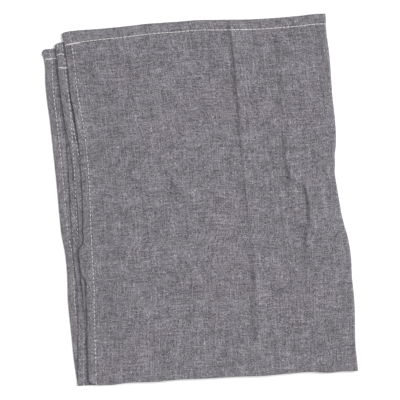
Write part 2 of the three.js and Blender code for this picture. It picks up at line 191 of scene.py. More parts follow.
# %% Thickness, hems and the ridges over them
CLOTH = 0.55
HEM_EXTRA = 0.4  # what the two turned plies add on the back
SIDE_HEM = 9.5
END_HEM = 12.5
LAYER_STEP = 1.35  # from the middle of one layer to the next, with the air between them
PRESSED_STEP = 0.6  # the same at the hems
PRESS_REACH = 55
RIDGE_SOFTNESS = 14
LAYER_OVERHANG = 20  # how far past a layer's end the ones above have sunk down fully
OVERLAP = 3  # a hem lifts the layer on it fully once they overlap by this much


def hem_rise(layer, x, y):
    """How far the hems of a layer lift what lies on them."""
    from_side = x - left_edge_x[layer](y)
    from_end = end_edge_y[layer](x) - y
    covered = smooth(-RIDGE_SOFTNESS, 0, np.minimum(from_side, from_end))
    side = 1 - smooth(SIDE_HEM, SIDE_HEM + RIDGE_SOFTNESS, from_side)
    end = 1 - smooth(END_HEM, END_HEM + RIDGE_SOFTNESS, from_end)
    return HEM_EXTRA * covered * np.maximum(side, end)


def carries(layer, x, y):
    """How much a layer still carries those above: 1 on it, falling to 0 past its end."""
    return smooth(-LAYER_OVERHANG, 0, end_edge_y[layer](x) - y)


def step_up(x, y):
    """From the middle of one layer to the next."""
    return mix(PRESSED_STEP, LAYER_STEP, smooth(0, PRESS_REACH, x - left_edge_x["top"](y)))


def lies_on_hem(over, under, y):
    """1 where one layer's edge reaches over the side hem of another, 0 where it stops short of it."""
    return smooth(-1, OVERLAP, left_edge_x[under](y) + SIDE_HEM - left_edge_x[over](y))


print("hem", round(CLOTH + HEM_EXTRA, 2), "mm thick,", SIDE_HEM, "and", END_HEM, "mm wide")

# %% [markdown]
# ## Air, swells and lifts
#
# Folded cloth never lies quite flat: air between the layers holds it up in broad, soft swells. A cloth
# simulation could blow them up, but not in the places where this towel has them. So each swell is one row
# of a table, and it is a soft bell with its own size and turn. The air is felt less in
# the lower layers. A lift raises the top layer alone, where its edge stands off the others.

# %% Swells of the cloth
# (x, y, half length across, half length along, turn in degrees, height)
AIR_SWELLS = [
    (44, 160, 30, 40, 0, 0.8),
    (-40, 72, 34, 48, -20, 1.5),
    (-12, -20, 46, 40, 25, 1.3),
    (10, -108, 60, 44, 0, 1.1),
    (96, 112, 36, 40, 10, 0.9),
    (128, -72, 26, 54, 0, 1.7),
    (122, 46, 16, 44, 0, 1.1),
    (-92, -84, 34, 56, 10, 0.9),
]
TOP_LIFTS = [
    (-122, 96, 14, 36, 0, 1.1),
    (-122, -34, 12, 22, 0, 0.7),
    (-122, -146, 15, 34, 0, 0.8),
    (-99, -16, 10, 14, 0, 0.9),
]
AIR_ALL_OVER = 0.9
AIR_MARGIN = 46  # from the outline in, where the air builds up
AIR_SHARE = {"upper": 0.4, "lower": 0.15}
BELL_FALL = 2  # at its half length a swell is down to about a seventh


def swell(row, x, y):
    middle_x, middle_y, across, along, turn, height = row
    cos, sin = math.cos(math.radians(turn)), math.sin(math.radians(turn))
    right = ((x - middle_x) * cos + (y - middle_y) * sin) / across
    up = ((y - middle_y) * cos - (x - middle_x) * sin) / along
    return height * np.exp(-BELL_FALL * (right**2 + up**2))


def from_outline(x, y):
    """How far a place is inside the outline of the top layer."""
    from_hems = np.minimum(x - left_edge_x["top"](y), end_edge_y["top"](x) - y)
    from_folds = np.minimum(second_fold_outer_x(y) - x, y - first_fold_outer_y["top pair"](x))
    return np.minimum(from_hems, from_folds)


def air_under(x, y):
    """How far the air between the layers lifts the top one."""
    all_over = AIR_ALL_OVER * smooth(0, AIR_MARGIN, from_outline(x, y))
    return all_over + sum(swell(row, x, y) for row in AIR_SWELLS)


print("air under the middle", round(float(air_under(np.array(0.0), np.array(0.0))), 2), "mm")

# %% [markdown]
# ## Creases
#
# A crease left by an older fold isn't a round groove. The cloth rises softly to it from one side and
# drops from its crest within a few millimetres, so one flank is wide and the other is narrow. A bump in
# the material could shade it like that, but only a crease in the mesh also shows from the side. A table
# gives each crease its height and the widths of both flanks, and its path with the share of the height at
# each place, so that it swells and fades along its way. A negative height makes a trough.

# %% Creases
# path: (x, y, share of the height there)
CREASES = [
    {"name": "long crease from the end hem", "height": 2.1, "left": 6, "right": 30, "path": [
        (42, 205, 0.8), (44.3, 141.4, 0.8), (44.8, 122.3, 1), (45.1, 99.2, 0.9), (45.7, 67.1, 0.7),
        (45.1, 32.1, 0.45), (45.4, 16, 0.45), (46.9, -10.2, 0.45), (47.6, -27.3, 0.35),
        (48.9, -50.5, 0.35), (48.2, -73.5, 1), (48.8, -91.6, 0.8), (47.4, -110.5, 0.45),
        (47.2, -129.6, 0.5), (45.3, -143, 0.5), (44.6, -147.4, 0)]},
    {"name": "trough across its lower end", "height": -1.1, "left": 8, "right": 8, "path": [
        (-14, -147, 0), (3, -150.5, 0.7), (19.5, -152.5, 1), (33.4, -153, 1), (43, -151, 1),
        (49, -146, 0.6), (52, -137, 0)]},
    {"name": "crease left of the bulge", "height": 2.5, "left": 8, "right": 34, "path": [
        (98.3, 99.3, 0), (93.5, 72, 0.35), (89, 49.9, 0.9), (89.5, 29.8, 0.9), (91.5, 16.6, 1),
        (86.5, 0, 0)]},
    {"name": "crease into the bulge", "height": 2.4, "left": 4.5, "right": 34, "path": [
        (86, 19, 0), (93, 14, 0.65), (99.5, 10.5, 0.75), (106, 8, 0.8), (108.5, -11.8, 1),
        (107.5, -31.8, 1), (104.3, -36, 1), (102.8, -45, 0.9), (102.6, -55, 0.6), (98, -70, 0)]},
    {"name": "little crease on the bulge", "height": 0.9, "left": 5, "right": 14, "path": [
        (117, -5, 0), (119.5, -13, 1), (121.5, -20, 1), (123, -29, 0)]},
    {"name": "fold over the left hem", "height": 0.6, "left": 7, "right": 16, "path": [
        (-66, 60, 0), (-80, 58, 0.6), (-105, 54.5, 1), (-118, 48, 0.7)]},
    {"name": "hollow below the left corner", "height": -0.9, "left": 16, "right": 16, "path": [
        (-107, 111, 0.5), (-79, 100, 1), (-29, 82, 0)]},
    {"name": "crumple beside the left hem", "height": 1.0, "left": 6, "right": 12, "path": [
        (-76, 70, 0), (-69, 55, 0.8), (-80, 42, 1), (-96, 26, 0.8), (-82, 16, 0.3)]},
    {"name": "ring beside the left hem", "height": 1.1, "left": 5, "right": 7, "path": [
        (-107, -12, 0.6), (-98, 3, 1), (-88, -13, 0.8), (-101, -30, 1), (-108, -20, 0.5)]},
    {"name": "curve in the middle", "height": 0.8, "left": 9, "right": 18, "path": [
        (-30, 42, 0), (-25, 17, 1), (-18, 6, 0.8), (-29, -9, 0.6), (-33, -28, 0.8), (-42, -37, 0)]},
    {"name": "arc right of the middle", "height": 0.7, "left": 8, "right": 14, "path": [
        (4, 50, 0), (10, 70, 0.8), (30, 66, 1), (38, 50, 0.4)]},
    {"name": "dent across the long crease", "height": 0.8, "left": 9, "right": 14, "path": [
        (10, -34, 0), (20, -24, 0.8), (33, -15, 1), (58, -21, 0.5), (74, -8, 0)]},
    {"name": "dent near the fold", "height": -0.8, "left": 14, "right": 14, "path": [
        (78, -104, 0), (98, -106, 1), (122, -110, 0)]},
    {"name": "band under the end hem", "height": -0.7, "left": 14, "right": 14, "path": [
        (48, 150, 0), (86, 141, 1), (130, 138, 0.4)]},
]
CREST_ROUND = 0.6  # how soft the very crest is
FLANK_FALL = 3  # the power that makes a flank steep at the crest and flat at its foot


def along_path(path, x, y):
    """Distance from a path, more than 0 on its right hand, and the share given for the nearest place."""
    nearest = np.full(np.shape(x), np.inf)
    side = np.ones(np.shape(x))
    share = np.zeros(np.shape(x))
    for (start_x, start_y, start_share), (end_x, end_y, end_share) in zip(path, path[1:]):
        run_x, run_y = end_x - start_x, end_y - start_y
        part = ((x - start_x) * run_x + (y - start_y) * run_y) / (run_x**2 + run_y**2)
        part = np.clip(part, 0, 1)
        off_x, off_y = x - start_x - part * run_x, y - start_y - part * run_y
        gap = np.hypot(off_x, off_y)
        closer = gap < nearest
        nearest = np.where(closer, gap, nearest)
        side = np.where(closer, np.where(run_y * off_x - run_x * off_y < 0, -1, 1), side)
        share = np.where(closer, mix(start_share, end_share, part), share)
    return nearest * side, share


def crease_height(crease, x, y):
    """A path runs down the towel, so its right hand is the picture's left."""
    off, share = along_path(crease["path"], x, y)
    flank = np.where(off < 0, crease["right"], crease["left"])
    rounded = np.sqrt(off**2 + CREST_ROUND**2) - CREST_ROUND
    return crease["height"] * share * np.clip(1 - rounded / flank, 0, 1) ** FLANK_FALL


print(len(CREASES), "creases")

# %% [markdown]
# ## Rumple
#
# Washed cloth also has a fine, irregular unevenness all over. A Displace modifier with a noise texture
# could make it, but the heights are needed before there is a mesh. It has no pattern to copy, so it is a
# sum of a few dozen low waves that run in random directions. The random numbers start from a fixed seed,
# which gives the same cloth each time.

# %% Rumple
def rumple_field(seed, shortest, longest, waves=40):
    """A function of (x, y) that wanders about 0 with a spread of 1."""
    draw = np.random.default_rng(seed)
    lengths = draw.uniform(shortest, longest, waves)
    heading = draw.uniform(0, math.pi, waves)
    phase = draw.uniform(0, 2 * math.pi, waves)
    step_x, step_y = 2 * math.pi * np.cos(heading) / lengths, 2 * math.pi * np.sin(heading) / lengths

    def field(x, y):
        total = sum(np.sin(kx * x + ky * y + p) for kx, ky, p in zip(step_x, step_y, phase))
        return total / math.sqrt(waves / 2)

    return field


# (seed, shortest wave, longest wave, spread of its height)
TOP_RUMPLE = [(3, 9, 16, 0.06), (5, 18, 40, 0.24)]
rumple = [(rumple_field(seed, shortest, longest), spread) for seed, shortest, longest, spread in TOP_RUMPLE]
# The layers below have slow waves only: (seed, spread of its height)
LAYER_WAVES = {"upper": (11, 0.25), "lower": (12, 0.25), "bottom": (13, 0.08)}
WAVE_LENGTHS = (22, 60)
layer_waves = {
    layer: (rumple_field(seed, *WAVE_LENGTHS), spread) for layer, (seed, spread) in LAYER_WAVES.items()
}
print("rumple", [spread for _, spread in rumple], "mm")

# %% [markdown]
# ## Heights of the four layers
#
# Each layer's height is added up from the surface: the layers below, their hems' ridges and the air. The
# top layer then gets its swells, creases and rumple, but it never sinks into the layer under it.

# %% Heights of the layers
LEAST_AIR = 0.1  # the top layer may sink this far below its share of the air
RUMPLE_MARGIN = 16  # the rumple fades towards the folds and edges
RUMPLE_AT_EDGE = 0.3  # what is left of it there
END_LIFT = (138, 160)  # up the towel from here to there, the bottom layer's end hem comes to lift the others


def layer_heights(x, y):
    """Height of the middle of each layer's cloth, in millimetres over the surface."""
    rise = {layer: hem_rise(layer, x, y) for layer in PAIR}
    waves = {layer: spread * field(x, y) for layer, (field, spread) in layer_waves.items()}
    bottom = CLOTH / 2 + 0 * x
    step = step_up(x, y)
    ridge = rise["bottom"] * np.maximum(lies_on_hem("lower", "bottom", y), smooth(*END_LIFT, y))
    lower = bottom + rise["lower"] + carries("bottom", x, y) * (step + ridge)
    upper = lower + carries("lower", x, y) * step
    top = upper + carries("upper", x, y) * step + rise["upper"] + rise["top"]
    air = air_under(x, y)
    open_cloth = mix(RUMPLE_AT_EDGE, 1, smooth(0, RUMPLE_MARGIN, from_outline(x, y)))
    shaped = air + sum(swell(row, x, y) for row in TOP_LIFTS)
    shaped = shaped + sum(crease_height(crease, x, y) for crease in CREASES)
    shaped = shaped + open_cloth * sum(spread * field(x, y) for field, spread in rumple)
    return {
        "bottom": bottom,
        "lower": lower + AIR_SHARE["lower"] * air,
        "upper": upper + AIR_SHARE["upper"] * air,
        "top": top + np.maximum(shaped, AIR_SHARE["upper"] * air - LEAST_AIR),
    }


print({layer: round(float(z), 2) for layer, z in layer_heights(np.array(0.0), np.array(0.0)).items()})

# %% [markdown]
# ## A place on the sheet
#
# The whole towel is one sheet. Layers and strips for the folds could be made one by one and joined, but in
# one sheet the weave and the hems run on round the folds by themselves. Each way over it has three
# stretches of length 1: one half, the round of the fold, and the other half. Over the flat stretches a
# layer is filled in between its four border lines. In a fold the sheet goes round a half circle, from the
# height of one layer to the height of the other.

# %% Folds and corners of a layer
def second_fold_x(y):
    outer = second_fold_outer_x(y)
    heights = layer_heights(outer, y)
    return outer - (heights["top"] - heights["bottom"]) / 2 - CLOTH / 2


def first_fold_y(pair, x):
    outer = first_fold_outer_y[pair](x)
    heights = layer_heights(x, outer)
    over, under = ("top", "upper") if pair == "top pair" else ("lower", "bottom")
    return outer + (heights[over] - heights[under]) / 2 + CLOTH / 2


def layer_corners(layer):
    """Where the layer's two edges and its two folds meet: end left, end right, fold left, fold right."""
    (end_y, end_x), (_, foot_x) = LEFT_EDGE[layer][0], LEFT_EDGE[layer][-1]
    right_end_y = END_EDGE[layer][-1][1]
    fold_end_y, fold_end_x = SECOND_FOLD[-1]
    return (
        (end_x, end_y),
        (second_fold_x(right_end_y), right_end_y),
        (foot_x, first_fold_y(PAIR[layer], foot_x)),
        (second_fold_x(fold_end_y), first_fold_y("bottom pair", fold_end_x)),
    )


CORNERS = {layer: np.array(layer_corners(layer), float) for layer in PAIR}
print("corners of the top layer", CORNERS["top"].round(1).tolist())


# %% Filling in a layer
def place_in_layer(layer, across, along):
    """A place seen from above: across goes from the left edge to the second fold, along to the first."""
    end_left, end_right, fold_left, fold_right = CORNERS[layer]
    left_y = mix(end_left[1], fold_left[1], along)
    right_y = mix(end_right[1], fold_right[1], along)
    end_x = mix(end_left[0], end_right[0], across)
    fold_x = mix(fold_left[0], fold_right[0], across)
    x = mix(left_edge_x[layer](left_y), second_fold_x(right_y), across)
    y = mix(end_edge_y[layer](end_x), first_fold_y(PAIR[layer], fold_x), along)
    return x, y


print("middle of the top layer", [round(float(value), 1) for value in place_in_layer("top", 0.5, 0.5)])


# %% From the sheet to the folded towel
def stretch(at):
    """How far a place is from the sheet's edge, how far round the fold, and how much it faces up."""
    turn = np.clip(at - 1, 0, 1) * math.pi
    return np.minimum(np.minimum(at, 3 - at), 1), np.sin(turn), (1 + np.cos(turn)) / 2


def sheet_points(s, t):
    """The middle of the cloth, in millimetres, at places s, t of the sheet, each from 0 to 3."""
    part_s, sideways_s, facing_s = stretch(s)
    part_t, sideways_t, facing_t = stretch(t)
    weights = {
        "top": facing_s * facing_t,
        "bottom": (1 - facing_s) * facing_t,
        "upper": facing_s * (1 - facing_t),
        "lower": (1 - facing_s) * (1 - facing_t),
    }
    points = np.zeros(np.shape(s) + (3,))
    reach_s = np.zeros(np.shape(s))
    reach_t = np.zeros(np.shape(s))
    for layer, weight in weights.items():
        x, y = place_in_layer(layer, part_s, part_t)
        z = layer_heights(x, y)
        over, under = ("top", "bottom") if layer in ("top", "bottom") else ("upper", "lower")
        reach_s += weight * (z[over] - z[under]) / 2
        over, under = ("top", "upper") if PAIR[layer] == "top pair" else ("lower", "bottom")
        reach_t += weight * (z[over] - z[under]) / 2
        points += weight[..., None] * np.stack([x, y, z[layer]], -1)
    points[..., 0] += reach_s * sideways_s
    points[..., 1] -= reach_t * sideways_t
    return points


HALF_WIDTH = float(CORNERS["top"][1][0] - CORNERS["top"][0][0])
HALF_LENGTH = float(CORNERS["top"][0][1] - CORNERS["top"][2][1])
print("half width", round(HALF_WIDTH, 1), "mm, half length", round(HALF_LENGTH, 1), "mm")

# %% [markdown]
# ## The grid
#
# A regular grid would spend its points evenly, but they are needed where the cloth turns sharply: at hems,
# creases and folds. So the lines of the grid stand closer there and wider in the hidden layers. Round
# the edge the hem is a fold of cloth, and a few extra rings close the sheet with a round rim.

# %% Lines of the grid
RIM_RINGS = 3
RIM_RADIUS = (CLOTH + HEM_EXTRA) / 2
STEP_HALF = 0.4  # half the length over which a hem steps down to the single cloth
NEAR_HEM = 3  # the grid is fine this far on both sides of that step
FOLD_LINES = 12


def lines(bands, length):
    """Distances from the edge, in parts of length. Each band is (its end, cell), one after the other."""
    found = [RIM_RADIUS]
    for end, cell in bands:
        start = found[-1]
        count = max(1, math.ceil((end - start) / cell))
        found += [mix(start, end, (i + 1) / count) for i in range(count)]
    return np.array(found) / length


def hem_bands(hem):
    return [(hem - NEAR_HEM, 1.1), (hem - STEP_HALF, 0.75), (hem + STEP_HALF, 0.8), (hem + NEAR_HEM, 1.3)]


def sheet_lines(shown, hidden):
    """Lines over the whole sheet: the shown half, the fold, and the hidden half back to its edge."""
    fold = 1 + np.arange(1, FOLD_LINES) / FOLD_LINES
    return np.concatenate([shown, fold, 3 - hidden[::-1]])


# The long crease lies 160 to 177 mm from the left edge, and those by the bulge 204 to 236 mm
across_shown = lines(
    [*hem_bands(SIDE_HEM), (160, 2.7), (177, 0.8), (204, 2.3), (236, 1.1), (262, 2.4), (HALF_WIDTH, 1.6)],
    HALF_WIDTH,
)
across_hidden = lines([*hem_bands(SIDE_HEM), (30, 4), (HALF_WIDTH, 8.5)], HALF_WIDTH)
along_shown = lines([*hem_bands(END_HEM), (345, 2.5), (HALF_LENGTH, 1.7)], HALF_LENGTH)
along_hidden = lines([*hem_bands(END_HEM), (HALF_LENGTH, 7)], HALF_LENGTH)
S_LINES = sheet_lines(across_shown, across_hidden)
T_LINES = sheet_lines(along_shown, along_hidden)
print(len(S_LINES), "lines across,", len(T_LINES), "lines along")

# %% [markdown]
# ## Front and back of the cloth
#
# The sheet's middle is moved out along its own direction to make the front and the back. A Solidify
# modifier could do that, but the hem thickens only the back. Along the stitching the thread pulls the
# cloth in, which leaves a shallow groove, and over every few stitches the hem puckers a little.

# %% Seams, hems and grooves
# From the edge in to each seam: (place along the seam from 0 to 3, millimetres). Where the top layer's edge
# has its hook, from 0.6 to 0.71, the seam runs straight on
SEAM_INSET = {
    ("side", "first"): [(0, 7.4), (0.2, 7.2), (0.45, 7.8), (0.59, 7.8), (0.607, 8), (0.627, 12.4),
                        (0.664, 12.4), (0.696, 11.7), (0.7145, 8), (0.735, 7.8), (1.5, 7.9), (3, 7.6)],
    ("side", "last"): [(0, 7.3), (0.2, 6.6), (1.5, 6.0), (2.6, 5.9), (3, 7.2)],
    ("end", "first"): [(0, 12.7), (0.04, 12.5), (0.1, 11.5), (0.25, 10.8), (1.5, 10.2), (3, 10.2)],
    ("end", "last"): [(0, 12.6), (0.03, 13.4), (0.08, 12.6), (0.3, 11), (2.7, 11), (2.97, 12.3),
                      (3, 11.2)],
}
STITCH_PITCH = 4.2
GROOVE_DEPTH = 0.22
GROOVE_HALF = 1.3
seam_inset = {seam: line_through(rows) for seam, rows in SEAM_INSET.items()}


def from_edges(s, t):
    """Distances in millimetres from the nearest long edge and the nearest end edge."""
    return stretch(s)[0] * HALF_WIDTH, stretch(t)[0] * HALF_LENGTH


def hem_cover(from_side, from_end):
    side = 1 - smooth(SIDE_HEM - STEP_HALF, SIDE_HEM + STEP_HALF, from_side)
    end = 1 - smooth(END_HEM - STEP_HALF, END_HEM + STEP_HALF, from_end)
    return np.maximum(side, end)


def stitch_groove(s, t):
    from_side, from_end = from_edges(s, t)
    side_line = np.where(s < 1.5, seam_inset["side", "first"](t), seam_inset["side", "last"](t))
    end_line = np.where(t < 1.5, seam_inset["end", "first"](s), seam_inset["end", "last"](s))
    side = np.exp(-(((from_side - side_line) / GROOVE_HALF) ** 2))
    end = np.exp(-(((from_end - end_line) / GROOVE_HALF) ** 2))
    return GROOVE_DEPTH * np.maximum(side, end)


print("groove", GROOVE_DEPTH, "mm deep,", 2 * GROOVE_HALF, "mm wide")

# %% Front and back
PUCKER = 0.09
PUCKER_SHORT, PUCKER_LONG = 1.6, 3.2  # stitches in its shortest and its longest wave
PUCKER_SLANT = 0.35  # how much the pucker also changes from the edge inwards
pucker_waves = rumple_field(21, STITCH_PITCH * PUCKER_SHORT, STITCH_PITCH * PUCKER_LONG)


def faces_of_cloth(s, t, middle, normal):
    """The points of the front and of the back of the cloth."""
    from_side, from_end = from_edges(s, t)
    hem = hem_cover(from_side, from_end)
    groove = stitch_groove(s, t)
    wave_x = from_side * PUCKER_SLANT + s * HALF_WIDTH
    wave_y = from_end * PUCKER_SLANT + t * HALF_LENGTH
    pucker = PUCKER * hem * pucker_waves(wave_x, wave_y)
    front = middle + normal * (CLOTH / 2 - groove + pucker)[..., None]
    back = middle - normal * (CLOTH / 2 + HEM_EXTRA * hem - groove)[..., None]
    return front, back


def unit(vectors):
    """The same directions, each of length 1."""
    return vectors / np.linalg.norm(vectors, axis=-1, keepdims=True)


s_grid, t_grid = np.meshgrid(S_LINES, T_LINES)
middle = sheet_points(s_grid, t_grid)
down = np.gradient(middle, axis=0)
right = np.gradient(middle, axis=1)
normal = unit(np.cross(down, right))  # the way that the front faces
front, back = faces_of_cloth(s_grid, t_grid, middle, normal)
print("top of the cloth", round(float(front[..., 2].max()), 2), "mm over the surface")

# %% [markdown]
# ## Closing the rim
#
# The rings of the rim continue the front and the back outwards over a quarter circle each, until they
# meet in one ring of points that both share. That gives one closed mesh with clean quads, so nothing has
# to be bridged or filled afterwards.

# %% Rim
def extend(grid):
    """Repeats the outermost points of a grid once for each ring of the rim."""
    wider = [(RIM_RINGS, RIM_RINGS)] * 2 + [(0, 0)] * (grid.ndim - 2)
    return np.pad(grid, wider, "edge")


def ring_turns(count):
    """For each line of the extended grid: how far round the rim it is, up to a quarter turn, and its way."""
    index = np.arange(count + 2 * RIM_RINGS)
    before = np.clip(RIM_RINGS - index, 0, None)
    after = np.clip(index - (count + RIM_RINGS - 1), 0, None)
    return (before + after) / RIM_RINGS * math.pi / 2, np.sign(after - before)


turn_down, way_down = ring_turns(len(T_LINES))
turn_right, way_right = ring_turns(len(S_LINES))
outward = extend(unit(down)) * (np.sin(turn_down) * way_down)[:, None, None]
outward = outward + extend(unit(right)) * (np.sin(turn_right) * way_right)[None, :, None]
centre = extend((front + back) / 2) + outward * RIM_RADIUS
half_thick = extend((front - back) / 2)
thinning = np.minimum(np.cos(turn_down)[:, None], np.cos(turn_right)[None, :])[..., None]
front_rim = centre + half_thick * thinning
back_rim = centre - half_thick * thinning
rows, columns = front_rim.shape[:2]
print("grid with its rim", rows, "by", columns)

# %% [markdown]
# ## Maps of the cloth
#
# The weave has to follow the threads, so the mesh gets a map that says for each point how far it is along
# the unfolded cloth, in metres. It is added up from the lengths of the grid's own cells. A second
# map lays the front and the back side by side in a square. It is for baking, which draws the weave
# into one picture, and has no distortion worth mentioning because the towel really is a flat sheet.

# %% Maps
def lengths_along(points, axis):
    steps = np.linalg.norm(np.diff(points, axis=axis), axis=-1)
    start = np.zeros_like(np.take(steps, [0], axis=axis))
    return np.cumsum(np.concatenate([start, steps], axis=axis), axis=axis)


cloth_u = lengths_along(centre, 1)
cloth_v = lengths_along(centre, 0)
flat_width = float(np.median(cloth_u[:, -1]))
flat_length = float(np.median(cloth_v[-1, :]))
print("unfolded", round(flat_width), "by", round(flat_length), "mm")

# %% [markdown]
# ## The mesh
#
# Front points come first, then the back points that aren't shared with the front's outermost ring. No
# point may lie below the surface, and the finished cloth is centred on the solid.

# %% The cloth's mesh
front_index = np.arange(rows * columns).reshape(rows, columns)
shared = np.zeros((rows, columns), bool)
shared[[0, -1], :] = True
shared[:, [0, -1]] = True
back_index = front_index.copy()
back_index[~shared] = rows * columns + np.arange((~shared).sum())

points = np.concatenate([front_rim.reshape(-1, 3), back_rim[~shared]])
middle_of_points = (points.min(0) + points.max(0)) / 2
middle_of_solid = np.array((towel_low + towel_high) / 2) / MM
TO_FRAME = np.array([middle_of_solid[0] - middle_of_points[0], middle_of_solid[1] - middle_of_points[1], 0])


def quads(index, flipped):
    a, b, c, d = index[:-1, :-1], index[1:, :-1], index[1:, 1:], index[:-1, 1:]
    corners = (a, d, c, b) if flipped else (a, b, c, d)
    return np.stack(corners, -1).reshape(-1, 4)


def add_piece(name, points, faces):
    """A smooth piece from points in the cloth's own millimetres. Those below the surface come up to it."""
    points[:, 2] = np.maximum(points[:, 2], 0)
    mesh = bpy.data.meshes.new(name)
    mesh.from_pydata(((points + TO_FRAME) * MM).tolist(), [], faces)
    mesh.validate()
    mesh.shade_smooth()
    return add_object(name, mesh)


faces = np.concatenate([quads(front_index, False), quads(back_index, True)])
towel = add_piece("towel_cloth", points, faces.tolist())
print(len(points), "points,", 2 * len(faces), "triangles, moved", TO_FRAME.round(2), "mm")

# %% Its two maps
BAKE_EDGE = 0.004  # bare margin round each side's place in the square


def corner_values(front_values, back_values):
    """Values for every corner of every face, from values on the two grids."""
    of_front = front_values.reshape(-1, 2)[quads(front_index, False)]
    of_back = back_values.reshape(-1, 2)[quads(front_index, True)]
    return np.concatenate([of_front, of_back]).reshape(-1, 2)


def add_map(name, values):
    made = towel.data.uv_layers.new(name=name)
    made.uv.foreach_set("vector", values.astype(np.float32).ravel())


cloth_uv = np.stack([cloth_u, cloth_v], -1) * MM
part_u = mix(BAKE_EDGE, 1 - BAKE_EDGE, cloth_u / cloth_u[:, -1:])
part_v = mix(BAKE_EDGE, 1 - BAKE_EDGE, cloth_v / cloth_v[-1:, :])
add_map("cloth", corner_values(cloth_uv, cloth_uv))
left_half = np.stack([part_u / 2, part_v], -1)
right_half = np.stack([part_u / 2 + 0.5, part_v], -1)
add_map("OFBake", corner_values(left_half, right_half))
towel.data.uv_layers.active = towel.data.uv_layers["cloth"]
print("maps", [layer.name for layer in towel.data.uv_layers])

# %% [markdown]
# ## Topstitching
#
# A lockstitch shows on both sides as a row of short lengths of thread that dive into the cloth. A line
# with a dashed picture would look printed on, so each stitch is a small round thread of its own: its ends
# sink in and its middle stands a little proud. All of them are joined into one mesh.

# %% Sizes and depths of the stitches
THREAD = {"end": 0.64, "side": 0.5}  # the end hems are sewn with a thicker thread
STITCH_SHOWN = {"end": 3.9, "side": 2.7}  # the rest of the pitch is inside the cloth
STITCH_SINK = 0.22
STITCH_PROUD = 0.08
THREAD_PROUD = 0.25  # share of its thickness by which it stands higher still
STITCH_BOW = 4  # the power that keeps a stitch flat along its middle
STITCH_STEPS = 6
THREAD_SIDES = 8
SEAM_MARGIN = 0.6  # from the cloth's edge to the first stitch
BACKTACK = 13  # at both ends of an end hem's seam, sewn twice to fasten it
BACKTACK_BESIDE = 0.55
SEAM_SAMPLES = 4000
SHOWN_VARIES = (0.88, 1.06)  # share of STITCH_SHOWN, from stitch to stitch
PLACE_VARIES = 0.1
# How deep the thread lies, from place to place along its seam. A tight seam over a thick hem hides it
STITCH_DEPTH = {
    ("side", "first"): [(0, -0.9), (0.02, -0.8), (0.034, -0.2), (0.062, -0.15), (0.08, -0.5),
                        (0.108, -0.45), (0.125, -0.25), (0.9, -0.25), (1, -0.4), (2, -0.15), (3, -0.1)],
    ("side", "last"): [(0, -1), (0.036, -0.9), (0.045, -0.42), (0.4, -0.38), (0.9, -0.44), (1, -0.6),
                       (2.2, -0.62), (2.95, -0.45), (2.965, -0.9), (3, -1)],
    ("end", "first"): [(0, 0), (0.2, -0.04), (1, -0.06), (3, 0)],
    ("end", "last"): [(0, 0), (1.5, 0), (3, 0)],
}
DEPTH_WANDER = {"side": 0.11, "end": 0.03}  # how far it wanders from that depth
DEPTH_JITTER = 1.2  # how much of that is from stitch to stitch
DEEPEST = -0.6  # deeper down the thread would show on the other side
depth_waves = rumple_field(31, shortest=14, longest=50)
print("thread", THREAD["end"], "and", THREAD["side"], "mm thick")


# %% Where the stitches are
def seam(kind, edge):
    """Places s, t along one line of stitching, close together."""
    way = np.linspace(0, 3, SEAM_SAMPLES)
    inset = seam_inset[kind, edge](way) / (HALF_WIDTH if kind == "side" else HALF_LENGTH)
    inwards = inset if edge == "first" else 3 - inset
    return way, (inwards, way) if kind == "side" else (way, inwards)


def stitch_places(kind, edge, draw):
    """For one seam: places s, t with a row for each stitch, and each stitch's depth and thickness."""
    way, (s, t) = seam(kind, edge)
    run = sheet_points(s, t)
    length = np.append(0, np.cumsum(np.linalg.norm(np.diff(run, axis=0), axis=1)))
    count = round((length[-1] - 2 * SEAM_MARGIN) / STITCH_PITCH)
    pitch = (length[-1] - 2 * SEAM_MARGIN) / count
    starts = SEAM_MARGIN + pitch * np.arange(count)
    beside = np.zeros(count)
    if kind == "end":
        fastened = starts[(starts < BACKTACK) | (starts > length[-1] - BACKTACK)][:-1] + pitch / 2
        starts = np.append(starts, fastened)
        beside = np.append(beside, np.full(len(fastened), BACKTACK_BESIDE / HALF_LENGTH))
    shown = STITCH_SHOWN[kind] * draw.uniform(*SHOWN_VARIES, len(starts))
    begins = starts + draw.uniform(-PLACE_VARIES, PLACE_VARIES, len(starts))
    at = begins[:, None] + shown[:, None] * np.linspace(0, 1, STITCH_STEPS)
    stitch_s, stitch_t = np.interp(at, length, s), np.interp(at, length, t) + beside[:, None]
    depth = line_through(STITCH_DEPTH[kind, edge])(np.interp(starts, length, way))
    wander = depth_waves(starts, 0 * starts) + draw.uniform(-DEPTH_JITTER, DEPTH_JITTER, len(starts))
    depth = np.maximum(depth + DEPTH_WANDER[kind] * wander, DEEPEST)
    return stitch_s, stitch_t, depth, np.full(len(starts), THREAD[kind])


draw = np.random.default_rng(8)
seams = [stitch_places(kind, edge, draw) for kind, edge in SEAM_INSET]
stitch_s, stitch_t, stitch_depth, stitch_thick = (np.concatenate(values) for values in zip(*seams))
print(len(stitch_s), "stitches on each side of the cloth")

# %% [markdown]
# The cloth's direction at each stitch is found from places a hair's breadth away. Each thread is a round
# tube along six places, with a cap of one more point at each end.

# %% A round thread
HAIR = 1e-3  # in halves of the sheet
TAPER = 0.25  # how much thinner a thread is where it dives in
TAPER_POWER = 6  # so that it thins only near its ends
CAP_REACH = 1 / 3  # share of its thickness by which a cap stands out


def normals_at(s, t):
    along_s = sheet_points(np.minimum(s + HAIR, 3), t) - sheet_points(np.maximum(s - HAIR, 0), t)
    along_t = sheet_points(s, np.minimum(t + HAIR, 3)) - sheet_points(s, np.maximum(t - HAIR, 0))
    return unit(np.cross(along_t, along_s))


